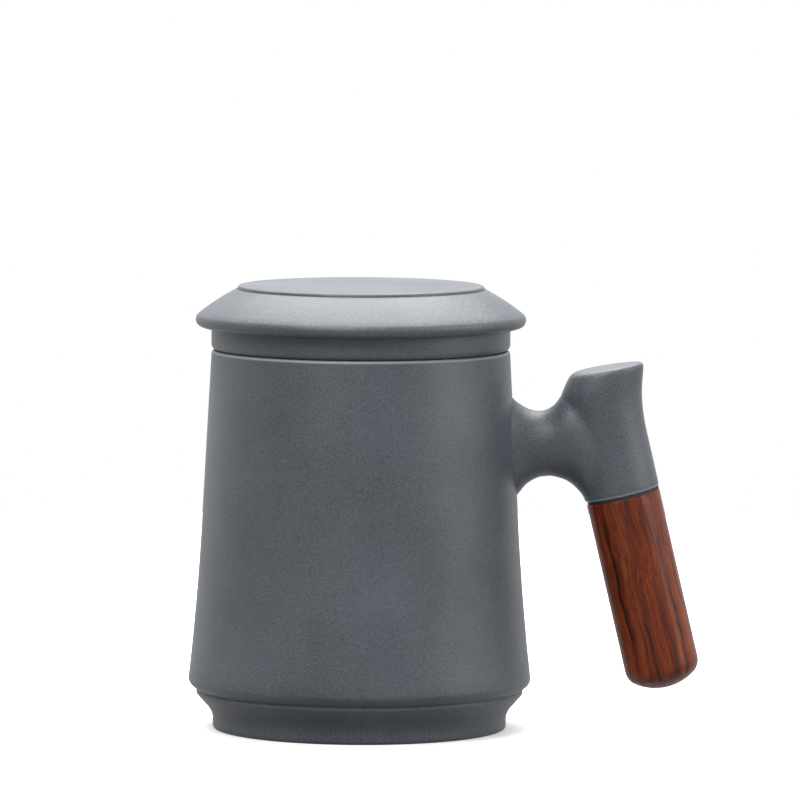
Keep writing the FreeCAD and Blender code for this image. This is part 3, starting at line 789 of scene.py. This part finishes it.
@dataclass
class Handle:
    """Neck and leaning horn of the mug, thrown and pulled into one soft form.

    The horn runs along the grip's axis from the joint; the neck runs along X from inside
    the wall of the cup. Sizes are in millimetres.
    """

    place: Matrix
    length: float = 34.2
    top_rounding: float = 1.3
    joint_rounding: float = 0.5
    socket_radius: float = 4.1
    socket_depth: float = 14.0
    grid: float = 0.34
    polish_rounds: int = 6
    seam_rounds: int = 70
    ring_points: int = 96
    horn_step: float = 0.8
    horn_rows: int = 40
    neck_rows: int = 50
    joint_inset: float = 2.0
    top_inset: float = 4.0
    seam_across: tuple[float, float, float, float] = (50.0, 53.5, 61.0, 66.5)
    seam_along: tuple[float, float, float, float] = (0.9, 3.0, 26.0, 29.5)
    horn: tuple[Oval, ...] = (
        Oval(0.0, -0.2, 10.2, 10.15), Oval(7.0, -0.2, 10.22, 10.15),
        Oval(14.0, -0.2, 10.22, 10.15), Oval(18.0, -0.2, 10.3, 10.2),
        Oval(22.0, -0.2, 10.65, 10.2), Oval(25.5, 0.0, 11.05, 10.2),
        Oval(28.5, 0.6, 11.2, 10.2, -1.3), Oval(31.6, 2.1, 10.6, 10.0, -2.6),
        Oval(34.2, 3.6, 9.75, 9.6, -3.9))
    neck: tuple[Oval, ...] = (
        Oval(39.2, 75.6, 16.0, 9.2), Oval(41.0, 75.4, 13.5, 8.6), Oval(42.5, 75.6, 12.1, 8.1),
        Oval(44.4, 76.2, 10.35, 7.6), Oval(46.3, 76.5, 9.35, 7.35),
        Oval(48.0, 76.8, 8.9, 7.3), Oval(49.4, 77.0, 8.9, 7.35),
        Oval(50.8, 77.4, 9.15, 7.5), Oval(52.0, 77.75, 9.65, 7.75),
        Oval(53.2, 78.35, 10.65, 8.05), Oval(54.4, 79.0, 11.6, 8.35),
        Oval(56.0, 79.3, 12.7, 8.8), Oval(57.5, 78.8, 13.4, 9.1),
        Oval(58.9, 78.0, 14.0, 9.3), Oval(60.4, 76.9, 14.7, 9.4),
        Oval(62.0, 76.8, 14.0, 9.3), Oval(64.0, 77.0, 12.5, 8.8))

    def build(self) -> Object:
        """Builds the handle.

        Returns:
            The neck and the horn as one closed piece with its blind socket.
        """
        bm = bmesh.new()
        self.skin(bm, self.horn_rings())
        self.skin(bm, self.neck_rings())
        bmesh.ops.recalc_face_normals(bm, faces=bm.faces)
        piece = link_mesh("handle", bm)
        merge = piece.modifiers.new("merge", "REMESH")
        merge.mode = "VOXEL"
        merge.voxel_size = self.grid * MM
        bake(piece)
        self.mark_seam(piece)
        polish = piece.modifiers.new("polish", "SMOOTH")
        polish.iterations = self.polish_rounds
        soften = piece.modifiers.new("soften", "SMOOTH")
        soften.iterations = self.seam_rounds
        soften.vertex_group = "seam"
        cut_out(piece, self.make_drill())
        piece.vertex_groups.clear()
        piece.data.shade_smooth()
        piece.data.set_sharp_from_angle(angle=math.radians(50))
        return piece

    def horn_rings(self) -> list[list[Vector]]:
        """Lists the rings of the horn, from the joint face to the top face."""
        rings = []
        steps = [(0.0, self.joint_inset), (0.0, self.joint_rounding)]
        steps += [(self.joint_rounding * (1 - math.cos(math.radians(a))),
                   self.joint_rounding * (1 - math.sin(math.radians(a)))) for a in (30, 60, 90)]
        steps += [(self.horn_step * i, 0.0) for i in range(1, self.horn_rows + 1)]
        edge = self.length - self.top_rounding
        steps += [(edge + self.top_rounding * math.sin(math.radians(a)),
                   self.top_rounding * (1 - math.cos(math.radians(a))))
                  for a in range(0, 91, 15)]
        steps += [(self.length, self.top_inset)]
        for along, inset in steps:
            oval = blend(self.horn, along)
            ring = []
            for i in range(self.ring_points):
                turn = math.tau * i / self.ring_points
                across = (oval.half - inset) * math.cos(turn)
                lean = across * math.tan(math.radians(oval.lean))
                ring.append(self.place @ (Vector((
                    oval.middle + across, (oval.half_deep - inset) * math.sin(turn),
                    along + lean)) * MM))
            rings.append(ring)
        return rings

    def neck_rings(self) -> list[list[Vector]]:
        """Lists the rings of the neck, from inside the wall to inside the horn."""
        start = self.neck[0].at
        end = self.neck[-1].at
        rings = []
        for step in range(self.neck_rows + 1):
            oval = blend(self.neck, start + (end - start) * step / self.neck_rows)
            ring = []
            for i in range(self.ring_points):
                turn = math.tau * i / self.ring_points
                ring.append(Vector((oval.at, oval.half_deep * math.cos(turn),
                                    oval.middle + oval.half * math.sin(turn))) * MM)
            rings.append(ring)
        return rings

    @staticmethod
    def skin(bm: bmesh.types.BMesh, rings: Sequence[Sequence[Vector]]) -> None:
        """Skins rings of points and closes both ends.

        Args:
            bm: Mesh under construction.
            rings: Rings with the same number of points, in metres.
        """
        made = [[bm.verts.new(point) for point in ring] for ring in rings]
        for ring, following in zip(made, made[1:]):
            for i, vert in enumerate(ring):
                j = (i + 1) % len(ring)
                bm.faces.new((vert, ring[j], following[j], following[i]))
        bm.faces.new(made[0])
        bm.faces.new(made[-1])

    def mark_seam(self, piece: Object) -> None:
        """Weights the vertices where the neck runs into the horn.

        Args:
            piece: The handle.
        """
        group = piece.vertex_groups.new(name="seam")
        back = self.place.inverted()
        for vert in piece.data.vertices:
            x = vert.co.x / MM
            along = (back @ vert.co).z / MM
            weight = between(self.seam_across, x) * between(self.seam_along, along)
            if weight > 0.01:
                group.add([vert.index], weight, "REPLACE")

    def make_drill(self) -> Object:
        """Makes the round tool that cuts the blind socket."""
        bm = bmesh.new()
        middle = Matrix.Translation((0, 0, (self.socket_depth / 2 - 1) * MM))
        bmesh.ops.create_cone(bm, cap_ends=True, segments=64,
                              radius1=self.socket_radius * MM, radius2=self.socket_radius * MM,
                              depth=(self.socket_depth + 2) * MM, matrix=self.place @ middle)
        return link_mesh("socket_tool", bm)


def smooth_step(low: float, high: float, value: float) -> float:
    """Runs from 0 at low to 1 at high with soft ends; low may be the larger one."""
    share = min(1.0, max(0.0, (value - low) / (high - low)))
    return share * share * (3 - 2 * share)


def between(edges: tuple[float, float, float, float], value: float) -> float:
    """Is 1 from the second edge to the third, and runs softly to 0 at the outer two."""
    return smooth_step(edges[0], edges[1], value) * smooth_step(edges[3], edges[2], value)


@dataclass
class Infuser:
    """Strainer basket with the collar that sits on the rim.

    Sizes are in millimetres, heights from the mug rim.
    """

    seat: float = 101.9
    outside: float = 34.4
    wall: float = 3.0
    depth: float = 71.0
    taper: float = 2.6
    rounding: float = 8.0
    inner_share: float = 0.7
    floor: float = 3.0
    collar_radius: float = 40.08
    collar_height: float = 6.7
    collar_rounding: float = 1.7
    collar_top_rounding: float = 0.8
    seat_fillet: float = 1.2
    hole_radius: float = 1.1
    ring_pitch: float = 7.6
    rings: tuple[int, ...] = (6, 12)
    row_pitch: float = 7.5
    row_first: float = 12.5
    rows: int = 3
    row_holes: int = 20

    def build(self, glaze: Material) -> None:
        """Builds the basket.

        Args:
            glaze: Material of the basket.
        """
        piece = lathe("strainer_basket", rounded(self.outline()), segments=240,
                      place=Matrix.Translation((0, 0, self.seat * MM)))
        cut_out(piece, self.make_drills())
        piece.data.set_sharp_from_angle(angle=math.radians(35))
        finish_piece(piece, "infuser", "infuser_glaze", (glaze,), "infuser")

    def outline(self) -> list[Turn]:
        """Lists the corners of the basket, from its bottom round the outside."""
        inside = self.outside - self.wall
        top = self.collar_height
        return [
            Turn(0, -self.depth),
            Turn(self.outside - self.taper, -self.depth, self.rounding),
            Turn(self.outside, 0, self.seat_fillet),
            Turn(self.collar_radius, 0, self.collar_rounding),
            Turn(self.collar_radius, top, self.collar_top_rounding),
            Turn(inside, top, self.collar_top_rounding),
            Turn(inside - self.taper, self.floor - self.depth, self.rounding * self.inner_share),
            Turn(0, self.floor - self.depth),
        ]

    def make_drills(self) -> Object:
        """Makes one tool of round pins where the drain holes go.

        Returns:
            The tool, to be cut out of the basket.
        """
        bm = bmesh.new()
        low = (self.seat - self.depth) * MM
        upright = [(0.0, 0.0)]
        for ring, count in enumerate(self.rings, start=1):
            reach = ring * self.ring_pitch * MM
            upright += [(reach * math.cos(math.tau * i / count),
                         reach * math.sin(math.tau * i / count)) for i in range(count)]
        for x, y in upright:
            place = Matrix.Translation((x, y, low + self.floor / 2 * MM))
            self.add_pin(bm, place, self.floor * 2.5)
        for row in range(self.rows):
            up = low + (self.row_first + self.row_pitch * row) * MM
            for i in range(self.row_holes):
                turn = math.tau * (i + 0.5 * (row % 2)) / self.row_holes
                spin = Matrix.Rotation(turn, 4, "Z")
                lay = Matrix.Rotation(math.radians(90), 4, "Y")
                reach = Matrix.Translation((self.outside * 0.9 * MM, 0, 0))
                place = Matrix.Translation((0, 0, up)) @ spin @ reach @ lay
                self.add_pin(bm, place, self.wall * 4)
        return link_mesh("drain_pins", bm)

    def add_pin(self, bm: bmesh.types.BMesh, place: Matrix, length: float) -> None:
        """Adds one pin to the tool.

        Args:
            bm: Mesh under construction.
            place: Centre and direction of the pin, in metres.
            length: Length of the pin, in millimetres.
        """
        bmesh.ops.create_cone(bm, cap_ends=True, segments=20, radius1=self.hole_radius * MM,
                              radius2=self.hole_radius * MM, depth=length * MM, matrix=place)


@dataclass
class Lid:
    """Lid with a raised round top, a rounded brim and a skirt.

    Sizes are in millimetres, heights from the top of the collar.
    """

    seat: float = 108.6
    radius: float = 44.12
    drop: float = 0.45
    nose: float = 1.9
    nose_fullness: float = 1.02
    nose_setback: float = 0.24
    lip_width: float = 2.9
    shoulder: float = 2.9
    cone_top: float = 9.65
    cone_curve: float = 65.0
    height: float = 10.6
    top_radius: float = 33.0
    top_rounding: float = 0.75
    crease: float = 0.18
    thickness: float = 4.6
    ceiling_rounding: float = 1.5
    skirt_radius: float = 30.6
    skirt_wall: float = 3.0
    skirt_depth: float = 8.0
    skirt_rounding: float = 1.0
    skirt_fillet: float = 0.8

    def build(self, glaze: Material) -> None:
        """Builds the lid.

        Args:
            glaze: Material of the lid.
        """
        piece = lathe("lid_cover", rounded(self.outline()),
                      place=Matrix.Translation((0, 0, self.seat * MM)))
        finish_piece(piece, "lid", "lid_glaze", (glaze,), "lid")

    def outline(self) -> list[Turn]:
        """Lists the corners of the lid, from under its top round the skirt and the brim."""
        ceiling = self.height - self.thickness
        skirt_inside = self.skirt_radius - self.skirt_wall
        nose_low = Turn(self.radius - self.nose, -self.drop)
        nose_high = Turn(self.radius - self.nose * self.nose_setback, self.shoulder)
        cone_end = Turn(self.top_radius + 2 * self.crease, self.cone_top)
        return [
            Turn(0, ceiling),
            Turn(skirt_inside, ceiling, self.ceiling_rounding),
            Turn(skirt_inside, -self.skirt_depth, self.skirt_rounding),
            Turn(self.skirt_radius, -self.skirt_depth, self.skirt_rounding),
            Turn(self.skirt_radius, 0, self.skirt_fillet),
            Turn(self.radius - self.lip_width, 0),
            nose_low,
            *curve_to(nose_low, nose_high, self.nose * self.nose_fullness, hollow=False, count=9),
            nose_high,
            *curve_to(nose_high, cone_end, self.cone_curve, hollow=False, count=6),
            cone_end,
            Turn(self.top_radius + self.crease, self.cone_top - self.crease, self.crease / 3),
            Turn(self.top_radius, self.height, self.top_rounding),
            Turn(0, self.height),
        ]


@dataclass
class Grip:
    """Wooden grip and the hardware that holds it to the horn.

    Sizes are in millimetres, along the grip from the joint.
    """

    radius: float = 9.98
    offset: float = -0.12
    top: float = -0.8
    length: float = 52.7
    dome: float = 14.0
    edge: float = 4.5
    top_rounding: float = 0.35
    flange_radius: float = 6.0
    flange: float = 1.2
    bore: float = 4.0
    bore_depth: float = 12.0

    def build(self, place: Matrix, wood: Material, rubber: Material,
              steel: Material, brass: Material) -> None:
        """Builds the grip and its joint.

        Args:
            place: Centre and direction of the joint, in metres.
            wood: Material of the grip.
            rubber: Material of the washer.
            steel: Material of the stud.
            brass: Material of both sleeves.
        """
        middle = place @ Matrix.Translation((self.offset * MM, 0, 0))
        grip = lathe("turned_grip", rounded(self.outline(), step=0.12), segments=128, place=middle)
        finish_piece(grip, "mug", "grip_wood", (wood,), "grip")
        rows = (("cushion_washer", "grip_washer", "washer_rubber", rubber),
                ("threaded_stud", "grip_stud", "stud_steel", steel),
                ("horn_sleeve", "boss_anchor", "sleeve_brass", brass),
                ("grip_sleeve", "grip_insert", "sleeve_brass", brass))
        for name, node, slot, material in rows:
            piece = smooth_object(name, welded_mesh(node), 30.0)
            finish_piece(piece, "mug", slot, (material,), node)

    def outline(self) -> list[Turn]:
        """Lists the corners of the grip, from its domed end to its bore."""
        end = self.top - self.length
        inner = self.dome - self.edge
        reach = self.radius - self.edge
        centre = end + self.dome
        edge_up = centre - math.sqrt(inner ** 2 - reach ** 2)
        meet_out = reach * self.dome / inner
        meet = Turn(meet_out, centre - math.sqrt(self.dome ** 2 - meet_out ** 2))
        tip = Turn(0, end)
        side = Turn(self.radius, edge_up)
        seat = self.top - self.flange
        return [
            tip,
            *curve_to(tip, meet, self.dome, hollow=False, count=8),
            meet,
            *curve_to(meet, side, self.edge, hollow=False, count=10),
            side,
            Turn(self.radius, self.top, self.top_rounding),
            Turn(self.flange_radius, self.top),
            Turn(self.flange_radius, seat),
            Turn(self.bore, seat),
            Turn(self.bore, self.top - self.bore_depth),
            Turn(0, self.top - self.bore_depth),
        ]


@dataclass(frozen=True)
class Lamp:
    """Square soft lamp, with lengths in metres and the power in watts."""

    name: str
    place: tuple[float, float, float]
    target: tuple[float, float, float]
    size: float
    power: float


def seen_by(tree: NodeTree, *kinds: str) -> NodeSocket:
    """Tells the rays that see a surface from those that only carry its light.

    Args:
        tree: Node tree to add to.
        kinds: Light Path outputs of the rays that see it.

    Returns:
        Socket that is 1 for those rays and 0 for others.
    """
    path = add(tree, "ShaderNodeLightPath")
    seen = path.outputs[kinds[0]]
    for kind in kinds[1:]:
        seen = add(tree, "ShaderNodeMath", {"operation": "MAXIMUM"}, {
            0: seen, 1: path.outputs[kind]}).outputs[0]
    return seen


@dataclass
class Studio:
    """White studio: floor, lamps, surroundings and camera."""

    camera_side: float = 10.55
    camera_distance: float = 2272.0
    camera_height: float = 278.1
    camera_pitch: float = 4.772
    camera_roll: float = 0.27
    lens: float = 382.5
    floor_radius: float = 0.6
    floor_drop: float = 0.02
    paper_bounce: float = 0.2
    paper_seen: float = 0.85
    paper_glow: float = 0.42
    world_level: float = 0.16
    lamps: tuple[Lamp, ...] = (
        Lamp("overhead_softbox", (0.0, 0.4, 1.1), (0.0, 0.0, 0.1), 1.2, 31.0),
        Lamp("front_key", (-0.45, -1.0, 1.25), (0.0, 0.0, 0.06), 0.8, 19.0),
        Lamp("right_strip", (1.3, -0.35, 0.55), (0.0, 0.0, 0.07), 0.7, 7.0))

    def build(self) -> None:
        """Builds the whole studio."""
        self.make_camera()
        self.make_floor()
        self.make_world()
        for lamp in self.lamps:
            self.make_lamp(lamp)
        view = bpy.context.scene.view_settings
        view.view_transform = "Standard"

    def make_camera(self) -> None:
        """Places the camera at the photograph's viewing angle."""
        data = bpy.data.cameras.new("camera")
        data.lens = self.lens
        data.sensor_width = 36.0
        data.clip_start = 0.05
        data.clip_end = 50.0
        camera = bpy.data.objects.new("camera", data)
        bpy.context.scene.collection.objects.link(camera)
        camera.location = (self.camera_side * MM, -self.camera_distance * MM,
                           self.camera_height * MM)
        tip = Matrix.Rotation(math.radians(90.0 - self.camera_pitch), 4, "X")
        roll = Matrix.Rotation(math.radians(self.camera_roll), 4, "Z")
        camera.rotation_euler = (tip @ roll).to_euler()
        bpy.context.scene.camera = camera

    def make_floor(self) -> None:
        """Lays a round white floor that keeps the contact shadow.

        The camera sees white paper; the piece gets the weaker bounce of a grey one.
        """
        bm = bmesh.new()
        bmesh.ops.create_circle(bm, cap_ends=True, radius=self.floor_radius, segments=96)
        floor = link_mesh("floor", bm)
        floor.location.z = -self.floor_drop * MM
        material, tree, output = new_material("white_paper_sweep")
        shade = ramp(tree, seen_by(tree, "Is Camera Ray"), [
            (0.0, grey(self.paper_bounce)), (1.0, grey(self.paper_seen))])
        paper = add(tree, "ShaderNodeBsdfDiffuse", inputs={"Color": shade})
        level = add(tree, "ShaderNodeMath", {"operation": "MULTIPLY"}, {
            0: seen_by(tree, "Is Camera Ray", "Is Glossy Ray"), 1: self.paper_glow})
        glow = add(tree, "ShaderNodeEmission", inputs={
            "Color": grey(1.0), "Strength": level.outputs[0]})
        both = add(tree, "ShaderNodeAddShader", inputs={
            0: paper.outputs[0], 1: glow.outputs[0]})
        tree.links.new(both.outputs[0], output.inputs["Surface"])
        floor.data.materials.append(material)

    def make_world(self) -> None:
        """Surrounds the scene with white, seen at full strength and lighting at a plain one."""
        world = bpy.data.worlds.new("white_surroundings")
        world.use_nodes = True
        tree = world.node_tree
        tree.nodes.clear()
        seen = seen_by(tree, "Is Camera Ray", "Is Glossy Ray", "Is Transmission Ray")
        level = add(tree, "ShaderNodeMapRange", inputs={
            "Value": seen, "To Min": self.world_level, "To Max": 1.0})
        sky = add(tree, "ShaderNodeBackground", inputs={
            "Color": grey(1.0), "Strength": level.outputs[0]})
        output = add(tree, "ShaderNodeOutputWorld")
        tree.links.new(sky.outputs[0], output.inputs["Surface"])
        bpy.context.scene.world = world

    @staticmethod
    def make_lamp(lamp: Lamp) -> None:
        """Hangs one lamp and points it at its target."""
        data = bpy.data.lights.new(lamp.name, "AREA")
        data.shape = "SQUARE"
        data.size = lamp.size
        data.energy = lamp.power
        hung = bpy.data.objects.new(lamp.name, data)
        bpy.context.scene.collection.objects.link(hung)
        hung.location = lamp.place
        aim = Vector(lamp.target) - Vector(lamp.place)
        hung.rotation_euler = aim.to_track_quat("-Z", "Y").to_euler()


def main() -> None:
    """Builds the studio and every piece."""
    logging.basicConfig(level=logging.INFO, format="%(message)s")
    Studio().build()
    mug = Mug()
    lean = math.radians(mug.tilt)
    up = (-math.sin(lean), 0.0, math.cos(lean))
    joint = mug.joint * MM
    # Pale line painted along the rounded rim: a painted highlight, with thin glaze there.
    rim_highlight_line = GlazeBreakAndHighlightLine((0.0, 0.0, 1.0), (mug.rim_height - mug.rim_highlight_line_drop) * MM,
                         mug.rim_highlight_line_width * MM)
    horn_line = GlazeBreakAndHighlightLine(up, joint.dot(Vector(up)) + mug.horn_line_rise * MM,
                          mug.horn_line_width * MM)
    mug.build(SandGlaze("sprayed_sand_glaze_cup", breaks_and_highlights=(rim_highlight_line,)).make(),
              SandGlaze("sprayed_sand_glaze_handle", breaks_and_highlights=(horn_line,)).make(),
              BareStoneware().make())
    Infuser().build(SandGlaze("sprayed_sand_glaze_infuser").make())
    Lid().build(SandGlaze("sprayed_sand_glaze_lid").make())
    place = Matrix.Translation(joint) @ Matrix.Rotation(-lean, 4, "Y")
    Grip().build(place, OiledRosewood(mug.tilt, joint).make(), MouldedRubber().make(),
                 TurnedMetal(Metal.STEEL).make(), TurnedMetal(Metal.BRASS).make())


if __name__ == "__main__":
    main()
